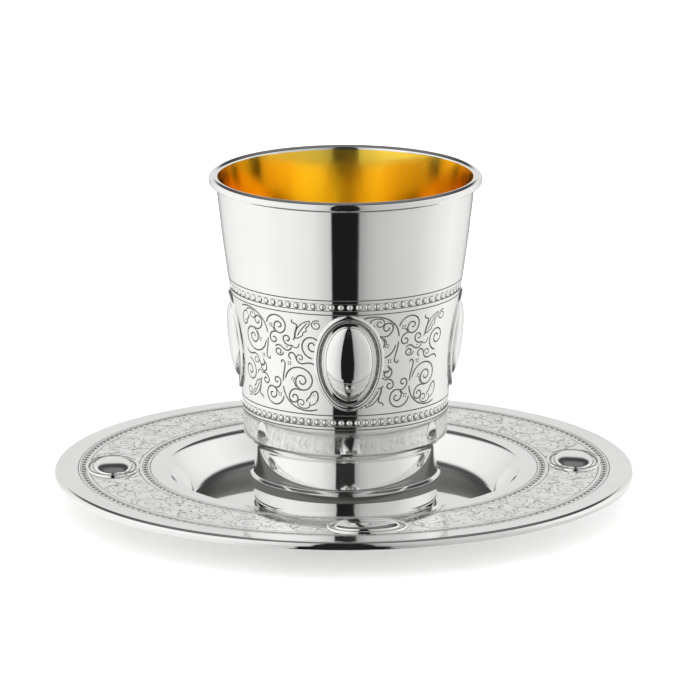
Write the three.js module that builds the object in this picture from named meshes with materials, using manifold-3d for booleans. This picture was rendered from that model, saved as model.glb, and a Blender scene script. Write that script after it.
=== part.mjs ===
// Kiddush cup and its saucer, in millimetres, standing on z = 0 with the axis on Z and the front facing -Y.
import * as THREE from "three";
import { mergeVertices } from "three/addons/utils/BufferGeometryUtils.js";
import Module from "manifold-3d";

const wasm = await Module();
wasm.setup();

// Driving dimensions
const cupHeight = 83.3;
const rimDiameter = 68.1;
const bowlBaseDiameter = 50.9;
const neckDiameter = 44.2;
const shoulderDiameter = 46.1;
const footDiameter = 47.7;
const footBellyDiameter = 47.2;
const footBaseDiameter = 45.9;
const saucerDiameter = 145.2;
const saucerHeight = 9.4;
const wellFloorDiameter = 74.8;
const wellEdgeDiameter = 89.2;

// Sheet and clearance
const bowlSheet = 0.8;
const footSheet = 0.8;
const bowlFloorSheet = 1;
const saucerSheet = 1;
const restGap = 0.3; // the foot stands this far above the well floor, so that the two solids stay apart
const cupOffset = 0.4; // the cup stands loose in the well, this far to the right of the saucer's axis

// Heights on the cup, from the underside of its foot
const footBellyHeight = 4.4;
const footEdgeHeight = 6.8;
const shoulderHeight = 7.4;
const neckHeight = 14.5;
const bowlUnderHeight = 16.7;
const waistHeight = 54;
const wallTopHeight = 80;

// The bowl's wall is nearly upright at its base and flares most at the waist height.
const waistRadius = 28.75;
const wallTopRadius = 32.05;
const baseFlare = 0.03;
const waistFlare = 0.152;
const topFlare = 0.1;
const floorFillet = 2.6;
const baseRound = 1.1;
const bowlBaseHeight = bowlUnderHeight + baseRound;

// Rim and foot
const rimBeadRadius = 1.25;
const rimFlareDrop = 3.2; // the inside widens towards the bead over this height
const rimMouthRadius = 32;
const footBaseRound = 0.9;
const mouthTurn = 135; // the bead runs this many degrees over the top and back under itself

// Two shallow channels border the engraved band.
const channelDepth = 0.22;
const channelSlope = 0.15;
const upperChannel = { low: 54.9, high: 56.9 };
const lowerChannel = { low: 24.7, high: 26.7 };

// Bosses
const cupBossCount = 4;
const bossSegments = 18;
const bossSink = 0.3; // how far a boss reaches into the sheet that carries it
const cupBoss = {
  across: 8.9,
  along: 12.6,
  frame: 3,
  dome: 2.15,
  ring: 0.65,
  groove: 0.1,
  height: 41.4,
  turn: 2,
};
const bossInsets = { foot: 0.05, ring: 0.4, groove: 0.95 }; // shares of the frame's width
const bossFootHeight = 0.1;
const domeTurns = [0.55, 1.1]; // radians from the dome's edge towards its top
const saucerBoss = { across: 10, along: 6.9, frame: 1.9, dome: 1.7, ring: 0.5, groove: 0.05, radius: 58 };
const saucerBossTurns = [5.7, 95, 183, 271]; // degrees from the front, set by hand and so not quite even

// Saucer
const lipDrop = 2.1;
const lipEase = saucerSheet / 4; // takes off the lip's sharp lower edge
const lipRound = 1.2;
// The well's wall runs on this far along the floor and along the brim before it turns.
const floorPull = 2.2;
const brimPull = 1.3;
const bandInnerRadius = 49.1;
const bandOuterRadius = 66.1;
const bandBorder = 1.5;
const bandBorderDepth = 0.2;

// Facets
const cupSegments = 50;
const saucerSegments = 56;
const arcSteps = 4;
const rimSteps = 6;
const wellSteps = 5;
const innerWallHeights = [36, 58];
const outerWallHeights = [47, 36];
const upAxis = new THREE.Vector3(0, 0, 1);

// Profile helpers
const point = (radius, height) => new THREE.Vector2(radius, height);

function arc(centreRadius, centreHeight, radius, from, to, steps) {
  const turn = (i) => THREE.MathUtils.degToRad(from + ((to - from) * i) / steps);
  return Array.from({ length: steps + 1 }, (_, i) =>
    point(centreRadius + radius * Math.cos(turn(i)), centreHeight + radius * Math.sin(turn(i))),
  );
}

function hermite(z, low, high) {
  const span = high.z - low.z;
  const t = (z - low.z) / span;
  const rise = t * t * (3 - 2 * t);
  const leave = t * (1 - t) ** 2 * span * low.flare;
  const arrive = t * t * (t - 1) * span * high.flare;
  return low.radius + (high.radius - low.radius) * rise + leave + arrive;
}

const wallBase = { z: bowlBaseHeight, radius: bowlBaseDiameter / 2, flare: baseFlare };
const wallWaist = { z: waistHeight, radius: waistRadius, flare: waistFlare };
const wallTop = { z: wallTopHeight, radius: wallTopRadius, flare: topFlare };

function bowlRadius(z) {
  return z < waistHeight ? hermite(z, wallBase, wallWaist) : hermite(z, wallWaist, wallTop);
}

// A profile runs from the axis out over the top and back to the axis underneath.
function lathe(profile, segments) {
  const geometry = new THREE.LatheGeometry([...profile].reverse(), segments);
  geometry.rotateX(Math.PI / 2);
  return geometry;
}

// Solids
function solid(geometry) {
  const bare = geometry.clone();
  bare.deleteAttribute("normal");
  bare.deleteAttribute("uv");
  const merged = mergeVertices(bare, 1e-4);
  const triVerts = new Uint32Array(merged.index.array);
  const vertProperties = new Float32Array(merged.attributes.position.array);
  return new wasm.Manifold(new wasm.Mesh({ numProp: 3, vertProperties, triVerts }));
}

function geometryOf(manifold) {
  const mesh = manifold.getMesh();
  const geometry = new THREE.BufferGeometry();
  geometry.setAttribute("position", new THREE.BufferAttribute(mesh.vertProperties, 3));
  geometry.setIndex(new THREE.BufferAttribute(mesh.triVerts, 1));
  geometry.computeVertexNormals();
  return geometry;
}

// Cup
function channel(zone) {
  const inside = channelDepth;
  return [
    point(bowlRadius(zone.high), zone.high),
    point(bowlRadius(zone.high) - inside, zone.high - channelSlope),
    point(bowlRadius(zone.low) - inside, zone.low + channelSlope),
    point(bowlRadius(zone.low), zone.low),
  ];
}

function wallPoints(heights, inset) {
  return heights.map((z) => point(bowlRadius(z) - inset, z));
}

// The neck is upright under the bowl and then widens evenly down to the shoulder.
function neckPoints(offset) {
  return [
    point(neckDiameter / 2 - offset, bowlUnderHeight),
    point(neckDiameter / 2 - offset, neckHeight),
    point(shoulderDiameter / 2 - offset, shoulderHeight),
  ];
}

function cupProfile() {
  const beadCentreRadius = rimDiameter / 2 - rimBeadRadius;
  const beadCentreHeight = cupHeight - rimBeadRadius;
  const floorHeight = bowlUnderHeight + bowlFloorSheet;
  const innerWallStart = floorHeight + floorFillet;
  const innerBaseRadius = bowlRadius(innerWallStart) - bowlSheet;
  const footRadius = footDiameter / 2;
  const footBaseRadius = footBaseDiameter / 2;
  const standRadius = footBaseRadius - footBaseRound;
  const baseRoundRadius = bowlBaseDiameter / 2 - baseRound;

  const inside = [
    point(0, floorHeight),
    ...arc(innerBaseRadius - floorFillet, innerWallStart, floorFillet, -90, 0, arcSteps - 1),
    ...wallPoints([...innerWallHeights, cupHeight - rimFlareDrop - rimBeadRadius], bowlSheet),
    point(rimMouthRadius, beadCentreHeight),
  ];
  const rim = arc(beadCentreRadius, beadCentreHeight, rimBeadRadius, mouthTurn, -mouthTurn, rimSteps);
  const wall = [
    ...wallPoints([wallTopHeight], 0),
    ...channel(upperChannel),
    ...wallPoints(outerWallHeights, 0),
    ...channel(lowerChannel),
    ...arc(baseRoundRadius, bowlBaseHeight, baseRound, 0, -90, arcSteps - 2),
  ];
  const foot = [
    ...neckPoints(0),
    point(footRadius, footEdgeHeight),
    point(footBellyDiameter / 2, footBellyHeight),
    ...arc(standRadius, footBaseRound, footBaseRound, 0, -90, arcSteps - 2),
    point(standRadius - footSheet / 2, 0),
    point(footBaseRadius - footSheet, footBaseRound),
    point(footRadius - footSheet, footEdgeHeight - footSheet),
    ...neckPoints(footSheet).reverse(),
    point(0, bowlUnderHeight),
  ];
  return [...inside, ...rim, ...wall, ...foot];
}

// A boss is a ring, a groove and a dome, given as ellipses that shrink towards its middle.
function bossEllipses({ across, along, frame, dome, ring, groove }) {
  const inset = (share, height) => ({
    across: across - frame * share,
    along: along - frame * share,
    height,
  });
  const onDome = (turn) => ({
    across: (across - frame) * Math.cos(turn),
    along: (along - frame) * Math.cos(turn),
    height: groove + (dome - groove) * Math.sin(turn),
  });
  const border = [
    inset(0, -bossSink),
    inset(bossInsets.foot, bossFootHeight),
    inset(bossInsets.ring, ring),
    inset(bossInsets.groove, groove),
  ];
  return [...border, ...domeTurns.map(onDome)];
}

// place takes the two distances from the boss's middle and the height above its bed.
function boss(shape, place) {
  const ellipses = bossEllipses(shape);
  const positions = [];
  const triangles = [];
  const last = ellipses.length - 1;
  ellipses.forEach((ring) => {
    for (let i = 0; i < bossSegments; i++) {
      const turn = (2 * Math.PI * i) / bossSegments;
      positions.push(...place(ring.across * Math.cos(turn), ring.along * Math.sin(turn), ring.height));
    }
  });
  positions.push(...place(0, 0, -bossSink), ...place(0, 0, shape.dome));
  const under = ellipses.length * bossSegments;
  const over = under + 1;
  for (let i = 0; i < bossSegments; i++) {
    const next = (i + 1) % bossSegments;
    triangles.push(under, next, i);
    triangles.push(over, last * bossSegments + i, last * bossSegments + next);
    for (let j = 0; j < last; j++) {
      const [a, b] = [j * bossSegments + i, j * bossSegments + next];
      const [c, d] = [a + bossSegments, b + bossSegments];
      triangles.push(a, b, d, a, d, c);
    }
  }
  const geometry = new THREE.BufferGeometry();
  geometry.setAttribute("position", new THREE.Float32BufferAttribute(positions, 3));
  geometry.setIndex(triangles);
  return geometry;
}

function onWall(middle, across, along, height) {
  const z = middle.height + along;
  const turn = middle.turn + across / bowlRadius(middle.height);
  const radius = bowlRadius(z) + height;
  return [radius * Math.sin(turn), -radius * Math.cos(turn), z];
}

function cupSolid() {
  let cup = solid(lathe(cupProfile(), cupSegments));
  for (let i = 0; i < cupBossCount; i++) {
    const turn = THREE.MathUtils.degToRad(cupBoss.turn) + (2 * Math.PI * i) / cupBossCount;
    const middle = { height: cupBoss.height, turn };
    const place = (across, along, height) => onWall(middle, across, along, height);
    cup = cup.add(solid(boss(cupBoss, place)));
  }
  return geometryOf(cup);
}

// Saucer
function bandEdge(radius, side) {
  const start = radius - (side * bandBorder) / 2;
  const end = radius + (side * bandBorder) / 2;
  const low = saucerHeight - bandBorderDepth;
  const slope = side * bandBorderDepth;
  return [point(start, saucerHeight), point(start + slope, low), point(end - slope, low), point(end, saucerHeight)];
}

function wellWall(offset) {
  const foot = point(wellFloorDiameter / 2, saucerSheet);
  const head = point(wellEdgeDiameter / 2, saucerHeight);
  const curve = new THREE.CubicBezierCurve(
    foot,
    point(foot.x + floorPull, foot.y),
    point(head.x - brimPull, head.y),
    head,
  );
  return Array.from({ length: wellSteps + 1 }, (_, i) => {
    const t = i / wellSteps;
    const tangent = curve.getTangent(t);
    return curve.getPoint(t).add(point(tangent.y, -tangent.x).multiplyScalar(offset));
  });
}

function saucerProfile() {
  const outer = saucerDiameter / 2;
  const lipInner = outer - saucerSheet;
  const under = saucerHeight - saucerSheet;
  const lipLow = saucerHeight - lipDrop;
  const top = [
    point(0, saucerSheet),
    ...wellWall(0),
    ...bandEdge(bandInnerRadius + bandBorder / 2, 1),
    ...bandEdge(bandOuterRadius - bandBorder / 2, 1),
    ...arc(outer - lipRound, saucerHeight - lipRound, lipRound, 90, 0, arcSteps - 2),
  ];
  const lip = [
    point(outer, lipLow + lipEase),
    point(outer - saucerSheet / 2, lipLow),
    point(lipInner, lipLow + lipEase),
    point(lipInner - lipEase, under),
  ];
  const underside = [...wellWall(saucerSheet).reverse(), point(0, 0)];
  return [...top, ...lip, ...underside];
}

function onBrim(turn, across, along, height) {
  const spot = new THREE.Vector3(across, along - saucerBoss.radius, saucerHeight + height);
  return spot.applyAxisAngle(upAxis, turn).toArray();
}

function saucerSolid() {
  let saucer = solid(lathe(saucerProfile(), saucerSegments));
  saucerBossTurns.forEach((degrees) => {
    const turn = THREE.MathUtils.degToRad(degrees);
    const place = (across, along, height) => onBrim(turn, across, along, height);
    saucer = saucer.add(solid(boss(saucerBoss, place)));
  });
  return geometryOf(saucer);
}

// Materials and scene graph
const silver = new THREE.MeshStandardMaterial({ color: 0xdcdcda, roughness: 0.12, metalness: 1 });
const saucerSilver = silver.clone();

const cup = new THREE.Mesh(cupSolid(), silver);
cup.name = "cup";
cup.position.set(cupOffset, 0, saucerSheet + restGap);

const saucer = new THREE.Mesh(saucerSolid(), saucerSilver);
saucer.name = "saucer";

const kiddushCup = new THREE.Group();
kiddushCup.add(saucer, cup);

export default kiddushCup;
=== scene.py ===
import math

import bpy
import numpy as np
from mathutils import Matrix, Vector
from mathutils.geometry import delaunay_2d_cdt


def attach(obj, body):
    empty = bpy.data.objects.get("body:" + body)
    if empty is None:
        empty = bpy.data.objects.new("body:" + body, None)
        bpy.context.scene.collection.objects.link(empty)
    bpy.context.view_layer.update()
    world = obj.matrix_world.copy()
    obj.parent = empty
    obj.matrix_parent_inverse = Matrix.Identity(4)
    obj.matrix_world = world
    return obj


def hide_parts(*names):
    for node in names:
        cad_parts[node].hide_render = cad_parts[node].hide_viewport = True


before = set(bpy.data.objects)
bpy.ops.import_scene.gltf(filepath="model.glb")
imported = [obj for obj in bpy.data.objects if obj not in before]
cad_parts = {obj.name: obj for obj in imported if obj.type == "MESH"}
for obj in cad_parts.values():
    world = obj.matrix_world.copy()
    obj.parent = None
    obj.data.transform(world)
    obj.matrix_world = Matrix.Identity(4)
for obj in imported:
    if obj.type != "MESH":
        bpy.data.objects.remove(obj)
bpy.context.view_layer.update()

# Sizes are in millimetres, the same as in the part's source, and MM turns them into metres.
MM = 0.001
TINY = 1e-9
SAME_PLACE = 1e-6
MERGE_DISTANCE = 1e-4
FILLET_TURN = 0.2  # radians from one point of a fillet to the next

# Cup, with heights from the underside of its foot
CUP_HEIGHT = 83.3
RIM_RADIUS = 34.05
BOWL_BASE_RADIUS = 25.45
NECK_RADIUS = 22.1
SHOULDER_RADIUS = 23.05
FOOT_RADIUS = 23.85
FOOT_BELLY_RADIUS = 23.6
FOOT_BASE_RADIUS = 22.95
FOOT_BASE_ROUND = 0.9
BOWL_SHEET = 0.8
FOOT_SHEET = 0.8
FOOT_EDGE_HEIGHT = 6.8
SHOULDER_HEIGHT = 7.4
NECK_HEIGHT = 14.5
FOOT_BELLY_HEIGHT = 4.4
BOWL_UNDER_HEIGHT = 16.7
BOWL_FLOOR_HEIGHT = 17.7
BASE_ROUND = 1.1
BOWL_BASE_HEIGHT = BOWL_UNDER_HEIGHT + BASE_ROUND
WAIST_HEIGHT = 54
WAIST_RADIUS = 28.75
WALL_TOP_HEIGHT = 80
WALL_TOP_RADIUS = 32.05
WALL_END_HEIGHT = 81  # just inside the bead
BASE_FLARE = 0.03
WAIST_FLARE = 0.152
TOP_FLARE = 0.1
RIM_BEAD = 1.25
RIM_MOUTH_RADIUS = 31.85
MOUTH_HEIGHT = 82.3
FLARE_START = 66
FLARE_POWER = 2.5  # how late the lining flares out to the mouth
BEAD_STEPS = 28
BEAD_ARC = (140, -125)  # degrees, from inside the mouth over the top to the wall
LINING_TO_BEAD = (0.02, 0.15)  # from the lining's end to the bead, across and up
FLOOR_FILLET = 2.6
LINING_STEPS = 48
ROUND_STEPS = 12
FOOT_STEPS = 10
WALL_STEP = 1.5
SLOPE_STEP = 0.05  # half the height over which the wall's slope is taken
CUP_SEGMENTS = 192
CUP_PLACE = (0.4, 0, 1.3)  # on the saucer's well floor, a little right of its middle

# Fillets of the foot, outside and inside
NECK_TOP_FILLET = 0.4
NECK_FILLET = 8
SHOULDER_FILLET = 0.15
FOOT_EDGE_FILLET = 0.12
FOOT_BELLY_FILLET = 12
FOOT_BASE_RISE = 0.4  # the straight bit over the rounded base
HOLLOW_END_FILLET = 0.5
HOLLOW_FILLET = 0.3

# Saucer
SAUCER_RADIUS = 72.6
SAUCER_HEIGHT = 9.4
SAUCER_SHEET = 1
WELL_FLOOR_RADIUS = 37.4
WELL_EDGE_RADIUS = 44.6
# How far the well's wall runs on along the floor and along the brim before it turns
FLOOR_PULL = 2.2
BRIM_PULL = 1.3
LIP_DROP = 2.1
LIP_ROUND = 1.2
LIP_EDGE_FILLET = 0.4
LIP_INNER_FILLET = 0.6
WELL_STEPS = 24
WELL_UNDER_STEPS = 6
SAUCER_SEGMENTS = 256

# Bosses: half sizes across and along, the width of the frame round the dome, and heights over their bed
CUP_BOSS = {"across": 8.9, "along": 12.6, "frame": 3, "dome": 2.15, "ring": 0.65, "groove": 0.1}
CUP_BOSS_HEIGHT = 41.4
CUP_BOSS_TURNS = (2, 92, 182, 272)
SAUCER_BOSS = {"across": 10, "along": 6.9, "frame": 1.9, "dome": 1.7, "ring": 0.5, "groove": 0.05}
SAUCER_BOSS_RADIUS = 58
SAUCER_BOSS_TURNS = (5.7, 95, 183, 271)
BOSS_SINK = 0.05  # how far a boss's edge goes into its bed
BOSS_RING_SHARE = 0.5  # of the frame's width, the rest being the groove
BOSS_RING_ROWS = 12
BOSS_GROOVE_ROWS = 6
BOSS_DOME_ROWS = 18
BOSS_DOME_POWER = 0.85
BOSS_SHADE_START, BOSS_SHADE_END = 10, 13  # the rows of the groove round the dome painted dark, as painted shade
BOSS_SEGMENTS = 96

# Ornament
LINE_WIDTH = 0.4
FINE_WIDTH = 0.3
SAUCER_WIDTH = 0.24
LINE_DEPTH = 0.13
SHALLOWEST = 0.08  # a share of a line's depth, under which the metal is left flat
CUP_CUT_DEPTH = 1.3 * LINE_DEPTH
STROKE_STEP = 0.45
STROKE_END = 0.6  # width at a stroke's ends, as a share of its own
KNOT_STEPS = 12
PETAL_START = 0.22
PETAL_BEND = 0.75
PETAL_TWIST = 0.18
HOOK = ((0.35, 0), (0.95, 6), (1.35, 16), (1.15, 27))  # how far out of its scroll, and degrees ahead
BEAD_PITCH = 2.25
# A thin dark ring round each bead's foot, painted shade in the crease.
BEAD_OUTLINE = 0.12
BEAD_OUTLINE_RISE = (0.01, 0.06)
BEAD_ROUNDNESS = 0.7  # how deep under a bead its normals meet, in radii
BEAD_SPOKES = 12
BEAD_RINGS = 5
CUP_BEAD = (0.74, 0.3)
SAUCER_BEAD = (0.6, 0.2)
BORDER_WIDTH = 0.28
CHANNEL_DEPTH = 0.22
CHANNEL_SLOPE = 0.15
CUP_BEADS = 80
# Borders: the line next to the band, the channel's two edges, the outer line
CUP_BORDERS = ((53.95, 54.9, 56.9, 57.7), (27.7, 26.7, 24.7, 24.0))
CUP_MOTIFS = 5
CUP_BAND_RADIUS = 26.8
CUP_BAND_STEP = 1.6
SAUCER_BORDERS = ((51.4, 50.6, 49.1, 48.6), (63.8, 64.6, 66.1, 66.6))
SAUCER_MOTIFS = 12
SAUCER_BAND_RADIUS = 57
SAUCER_BAND_STEP = 2

# The third finish is dark: the patina of old silver in its cut lines, and painted shade in grooves, creases
# and channel sides.
SILVER, GOLD, PATINA_AND_SHADE = range(3)


# Profiles: points (radius, height) with outward normals, walked from the axis over the top to the underside
def left_of(step):
    return np.array((-step[1], step[0])) / np.hypot(*step)


def path(*corners):
    """A profile through corners (radius, height) or (radius, height, fillet), sharp without a fillet."""
    places = [np.array(c[:2], float) for c in corners]
    points, normals = [places[0]], [left_of(places[1] - places[0])]
    for i in range(1, len(corners) - 1):
        before, after = places[i] - places[i - 1], places[i + 1] - places[i]
        n0, n1 = left_of(before), left_of(after)
        fillet = corners[i][2] if len(corners[i]) > 2 else 0
        turn = math.atan2(before[0] * after[1] - before[1] * after[0], before @ after)
        if not fillet:
            points += [places[i], places[i]]
            normals += [n0, n1]
            continue
        side = -1 if turn < 0 else 1
        start = places[i] - before / np.hypot(*before) * fillet * math.tan(abs(turn) / 2)
        centre = start + side * fillet * n0
        for share in np.linspace(0, 1, 2 + int(abs(turn) / FILLET_TURN)):
            c, s = math.cos(turn * share), math.sin(turn * share)
            n = np.array((n0[0] * c - n0[1] * s, n0[0] * s + n0[1] * c))
            points.append(centre - side * fillet * n)
            normals.append(n)
    points.append(places[-1])
    normals.append(left_of(places[-1] - places[-2]))
    return np.array(points), np.array(normals)


def sampled(points):
    """A smooth profile through many points, with normals from their neighbours."""
    points = np.array(points, float)
    steps = np.gradient(points, axis=0)
    return points, np.array([left_of(s) for s in steps])


def arc(centre, radius, start, end, steps, outward=1):
    turns = np.radians(np.linspace(start, end, steps + 1))
    spokes = np.stack((np.cos(turns), np.sin(turns)), 1)
    return np.array(centre) + radius * spokes, outward * spokes


def joined(*profiles):
    return tuple(np.vstack(parts) for parts in zip(*profiles))


def hermite(z, low, high):
    span = high[0] - low[0]
    t = (z - low[0]) / span
    rise = t * t * (3 - 2 * t)
    leave = t * (1 - t) ** 2 * span * low[2]
    arrive = t * t * (t - 1) * span * high[2]
    return low[1] + (high[1] - low[1]) * rise + leave + arrive


WALL_BASE = (BOWL_BASE_HEIGHT, BOWL_BASE_RADIUS, BASE_FLARE)
WALL_WAIST = (WAIST_HEIGHT, WAIST_RADIUS, WAIST_FLARE)
WALL_TOP = (WALL_TOP_HEIGHT, WALL_TOP_RADIUS, TOP_FLARE)


def bowl_radius(z):
    z = np.asarray(z, float)
    low, high = hermite(z, WALL_BASE, WALL_WAIST), hermite(z, WALL_WAIST, WALL_TOP)
    return np.where(z < WAIST_HEIGHT, low, high)


def bowl_slope(z):
    return (bowl_radius(z + SLOPE_STEP) - bowl_radius(z - SLOPE_STEP)) / (2 * SLOPE_STEP)


def wall(start, end):
    z = np.linspace(start, end, 2 + int(abs(end - start) / WALL_STEP))
    slope = bowl_slope(z)
    normals = np.stack((np.ones_like(z), -slope), 1) / np.sqrt(1 + slope**2)[:, None]
    return np.stack((bowl_radius(z), z), 1), normals


# Meshes
class Shell:
    """Patches in millimetres, each with a normal at every face corner, gathered into one mesh."""

    def __init__(self):
        self.points, self.faces, self.normals, self.finishes = [], [], [], []
        self.count = 0

    def add(self, points, faces, corner_normals, finish):
        points = np.asarray(points, float).reshape(-1, 3)
        faces = np.asarray(faces, int)
        corner_normals = np.asarray(corner_normals, float)
        ring = points[faces]
        facing = np.cross(ring[:, 1] - ring[:, 0], ring[:, -1] - ring[:, 0])
        facing += np.cross(ring[:, -1] - ring[:, -2], ring[:, 1] - ring[:, -2])
        wrong = np.einsum("ij,ij->i", facing, corner_normals.sum(1)) < 0
        faces[wrong] = faces[wrong, ::-1]
        corner_normals[wrong] = corner_normals[wrong, ::-1]
        self.points.append(points)
        self.faces += (faces + self.count).tolist()
        self.normals.append(corner_normals.reshape(-1, 3))
        self.finishes.append(np.broadcast_to(finish, len(faces)))
        self.count += len(points)

    def grid(self, points, normals, finish):
        """A net of points, rows by columns, closed along its rows."""
        rows, columns = points.shape[:2]
        index = np.arange(rows * columns).reshape(rows, columns)
        index = np.hstack((index, index[:, :1]))
        faces = np.stack((index[:-1, :-1], index[:-1, 1:], index[1:, 1:], index[1:, :-1]), -1).reshape(-1, 4)
        flat, bent = points.reshape(-1, 3), normals.reshape(-1, 3)
        real = np.linalg.norm(flat[faces[:, 0]] - flat[faces[:, 3]], axis=1) > SAME_PLACE
        real |= np.linalg.norm(flat[faces[:, 1]] - flat[faces[:, 2]], axis=1) > SAME_PLACE
        faces = faces[real]
        self.add(flat, faces, bent[faces], finish)

    def revolve(self, profile, segments, finish):
        points, normals = profile
        turns = np.linspace(0, 2 * math.pi, segments, endpoint=False)
        spin = np.stack((np.sin(turns), -np.cos(turns)), -1)
        net = np.empty((len(points), segments, 3))
        facing = np.empty_like(net)
        for out, flat in ((net, points), (facing, normals)):
            out[..., :2] = flat[:, None, :1] * spin
            out[..., 2] = flat[:, None, 1]
        self.grid(net, facing, finish)

    def piece(self, name, place, materials):
        mesh = bpy.data.meshes.new(name)
        mesh.from_pydata((np.vstack(self.points) + place) * MM, [], self.faces)
        mesh.polygons.foreach_set("use_smooth", np.ones(len(self.faces), bool))
        mesh.polygons.foreach_set("material_index", np.concatenate(self.finishes).astype(np.int32))
        for material in materials:
            mesh.materials.append(material)
        normals = np.vstack(self.normals)
        mesh.normals_split_custom_set(normals / np.linalg.norm(normals, axis=1)[:, None])
        piece = bpy.data.objects.new(name, mesh)
        bpy.context.collection.objects.link(piece)
        return piece


def net_normals(net):
    """Normals of a net of points that is closed along its rows."""
    down = np.gradient(net, axis=0)
    across = np.roll(net, -1, 1) - np.roll(net, 1, 1)
    facing = np.cross(across, down)
    length = np.linalg.norm(facing, axis=2, keepdims=True)
    return facing / np.maximum(length, TINY)


# Bosses and beads
def boss_rows(boss):
    """Ellipses of a boss from its edge to its top, as half sizes and height: a ring, a hollow and a dome."""
    width, bed = boss["frame"], boss["groove"]
    rows = []
    for share in np.linspace(0, 1, BOSS_RING_ROWS):
        height = boss["ring"] * math.sqrt(max(0, 1 - (2 * share - 1) ** 2))
        height += bed * share if share else -BOSS_SINK
        rows.append((width * BOSS_RING_SHARE * share, height))
    for share in np.linspace(BOSS_RING_SHARE, 1, BOSS_GROOVE_ROWS)[1:]:
        rows.append((width * share, bed))
    ellipses = [(boss["across"] - inset, boss["along"] - inset, height) for inset, height in rows]
    for turn in np.linspace(0, math.pi / 2, BOSS_DOME_ROWS)[1:]:
        size = math.cos(turn) ** BOSS_DOME_POWER
        height = bed + (boss["dome"] - bed) * math.sin(turn)
        ellipses.append(((boss["across"] - width) * size, (boss["along"] - width) * size, height))
    return ellipses


def add_boss(shell, boss, place):
    turns = np.linspace(0, 2 * math.pi, BOSS_SEGMENTS, endpoint=False)
    net = np.array([place(a * np.cos(turns), b * np.sin(turns), h) for a, b, h in boss_rows(boss)])
    normals = net_normals(net)
    middle = net[-1].mean(0)
    outward = net[-1] - net[0].mean(0)
    if np.einsum("ij,ij->", normals[-3], outward) < 0:
        normals = -normals
    normals[-1] = normals[-2].mean(0)
    net[-1] = middle
    # The dark rows of the groove round the dome are painted shade.
    spans = (
        (0, BOSS_SHADE_START, SILVER),
        (BOSS_SHADE_START, BOSS_SHADE_END, PATINA_AND_SHADE),
        (BOSS_SHADE_END, len(net), SILVER),
    )
    for first, last, finish in spans:
        shell.grid(net[first : last + 1], normals[first : last + 1], finish)


def cup_boss_place(turn):
    def place(across, along, height):
        z = CUP_BOSS_HEIGHT + along
        angle = math.radians(turn) + across / bowl_radius(CUP_BOSS_HEIGHT)
        radius = bowl_radius(z) + height
        return np.stack((radius * np.sin(angle), -radius * np.cos(angle), z + 0 * angle), -1)

    return place


def saucer_boss_place(turn):
    def place(across, along, height):
        x, y = across, along - SAUCER_BOSS_RADIUS
        c, s = math.cos(math.radians(turn)), math.sin(math.radians(turn))
        return np.stack((x * c - y * s, x * s + y * c, SAUCER_HEIGHT + height + 0 * x), -1)

    return place


def add_beads(shell, count, place, size):
    """A row of round beads; place gives the point at an angle, a distance across, one along and a height."""
    radius, rise = size
    spokes = np.linspace(0, 2 * math.pi, BEAD_SPOKES, endpoint=False)
    for i in range(count):
        angle = 2 * math.pi * (i + 0.5) / count
        tilts = np.linspace(0, math.pi / 2, BEAD_RINGS)
        rings = [(radius * math.cos(t), rise * math.sin(t)) for t in tilts]
        net = np.array([place(angle, r * np.cos(spokes), r * np.sin(spokes), h) for r, h in rings])
        up = place(angle, np.zeros(1), np.zeros(1), 1)[0] - place(angle, np.zeros(1), np.zeros(1), 0)[0]
        centre = net[-1].mean(0) - up * (rise + radius * BEAD_ROUNDNESS)
        normals = net - centre
        shell.grid(net, normals / np.linalg.norm(normals, axis=2, keepdims=True), SILVER)
        # The ring round the bead's foot takes the dark finish: painted shade in the crease.
        outline = zip((radius + BEAD_OUTLINE, radius), BEAD_OUTLINE_RISE)
        net = np.array([place(angle, r * np.cos(spokes), r * np.sin(spokes), h) for r, h in outline])
        shell.grid(net, np.broadcast_to(up, net.shape), PATINA_AND_SHADE)


# Engraved lines, drawn flat in millimetres: x along the band and y across it
def smooth(values, t):
    """Catmull-Rom through rows of values at whole numbers t."""
    values = np.asarray(values, float)
    last = len(values) - 1
    i = np.clip(np.floor(t).astype(int), 0, last - 1)
    f = (t - i).reshape((-1,) + (1,) * (values.ndim - 1))
    padded = np.concatenate((2 * values[:1] - values[1:2], values, 2 * values[-1:] - values[-2:-1]))
    a, b, c, d = (padded[i + k] for k in range(4))
    return 0.5 * (2 * b + (c - a) * f + (2 * a - 5 * b + 4 * c - d) * f**2 + (3 * b - a - 3 * c + d) * f**3)


def even(points, step):
    """The same line with points about one step apart."""
    along = np.concatenate(([0], np.cumsum(np.linalg.norm(np.diff(points, axis=0), axis=1))))
    at = np.linspace(0, along[-1], max(3, int(round(along[-1] / step)) + 1))
    return np.stack([np.interp(at, along, points[:, k]) for k in range(2)], 1)


def scroll(x, y, start, radii, turn=1, width=LINE_WIDTH):
    """A scroll about (x, y): its radius at each quarter turn, from the angle start in degrees."""
    t = np.linspace(0, len(radii) - 1, KNOT_STEPS * (len(radii) - 1) + 1)
    angle = np.radians(start + 90 * turn * t)
    radius = smooth(radii, t)
    line = np.stack((x + radius * np.cos(angle), y + radius * np.sin(angle)), 1)
    return even(line, STROKE_STEP), width


def stem(*knots, width=LINE_WIDTH):
    t = np.linspace(0, len(knots) - 1, KNOT_STEPS * (len(knots) - 1) + 1)
    return even(smooth(knots, t), STROKE_STEP), width


def flower(x, y, turn=45, petal=0.62):
    """Four short petals round a bare middle."""
    petals = []
    for quarter in range(4):
        a = math.radians(turn + 90 * quarter)
        way = np.array((math.cos(a), math.sin(a)))
        side = np.array((-way[1], way[0])) * PETAL_TWIST
        middle = np.array((x, y))
        start, bend, end = way * PETAL_START - side, way * petal * PETAL_BEND, way * petal + side
        petals.append((middle + np.array((start, bend, end)), FINE_WIDTH))
    return petals


def turned(strokes, x, y):
    """The strokes turned half round about (x, y)."""
    return [(2 * np.array((x, y)) - line, width) for line, width in strokes]


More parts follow.
